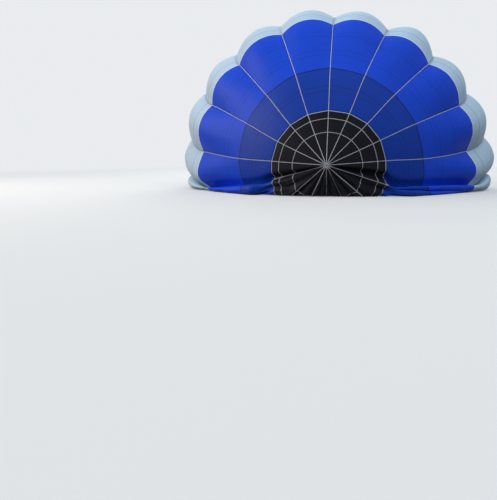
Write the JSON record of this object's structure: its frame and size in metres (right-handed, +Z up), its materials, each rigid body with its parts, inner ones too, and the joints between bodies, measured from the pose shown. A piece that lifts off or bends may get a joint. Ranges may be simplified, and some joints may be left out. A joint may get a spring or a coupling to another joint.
{
  "type": "hot air balloon",
  "caption": "Passenger hot air balloon lying on its side, part inflated, with scalloped gores, parachute valve, flying wires, burner frame and tipped wicker basket.",
  "frame": {"origin": "centre of the bounding box on the ground plane", "axes": "+Z up, -Y is the way the crown faces, +Y runs from the crown to the mouth and the basket, +X is to the right seen from the crown"},
  "size_m": [24.0279, 25.252, 13.336],
  "materials": {
    "blue_cloth": "coated ripstop nylon",
    "black_cloth": "coated ripstop nylon",
    "skirt_cloth": "fire-resistant woven cloth",
    "tape": "woven webbing",
    "aluminium": "brushed",
    "stainless": "brushed",
    "wicker": "varnished woven cane",
    "suede": "suede and hide trim",
    "timber": "varnished plywood and ash",
    "padding": "padded cover"
  },
  "bodies": {
    "balloon": {"gore_01": "blue_cloth", "gore_02": "blue_cloth", "gore_03": "blue_cloth", "gore_04": "blue_cloth", "gore_05": "blue_cloth", "gore_06": "blue_cloth", "gore_07": "blue_cloth", "gore_08": "blue_cloth", "gore_09": "blue_cloth", "gore_10": "blue_cloth", "gore_11": "blue_cloth", "gore_12": "blue_cloth", "gore_13": "blue_cloth", "gore_14": "blue_cloth", "gore_15": "blue_cloth", "gore_16": "blue_cloth", "mouth_skirt": "skirt_cloth", "load_tapes": "tape", "crown_ring": "aluminium", "flying_wires_top_left": "stainless", "flying_wires_top_right": "stainless", "flying_wires_bottom_left": "stainless", "flying_wires_bottom_right": "stainless", "basket_wall": "wicker", "basket_floor": "timber", "basket_rim": "suede", "scuff_band": "suede", "partition": "wicker", "skid_1": "timber", "skid_2": "timber", "skid_3": "timber", "fuel_cylinder_1": "aluminium", "fuel_cylinder_2": "aluminium", "fuel_cylinder_3": "aluminium", "fuel_cylinder_4": "aluminium", "upright_1": "padding", "upright_2": "padding", "upright_3": "padding", "upright_4": "padding", "burner_frame": "stainless"},
    "valve": {"parachute_valve": "black_cloth"},
    "gimbal_ring": {"gimbal": "stainless"},
    "burners": {"burner_beam": "aluminium", "burner_left": "stainless", "burner_right": "stainless"}
  },
  "joints": [
    {"name": "valve_slide", "type": "slide", "parent": "balloon", "child": "valve", "axis": [0, 1, 0], "range_m": [0, 1.2]},
    {"name": "gimbal_tilt", "type": "hinge", "parent": "balloon", "child": "gimbal_ring", "pos_m": [0.2185, 10.5735, 0.672], "axis": [1, 0, 0], "range_deg": [-20, 20]},
    {"name": "burner_tilt", "type": "hinge", "parent": "gimbal_ring", "child": "burners", "pos_m": [0.2185, 10.5735, 0.672], "axis": [0, 0, 1], "range_deg": [-20, 20]}
  ]
}
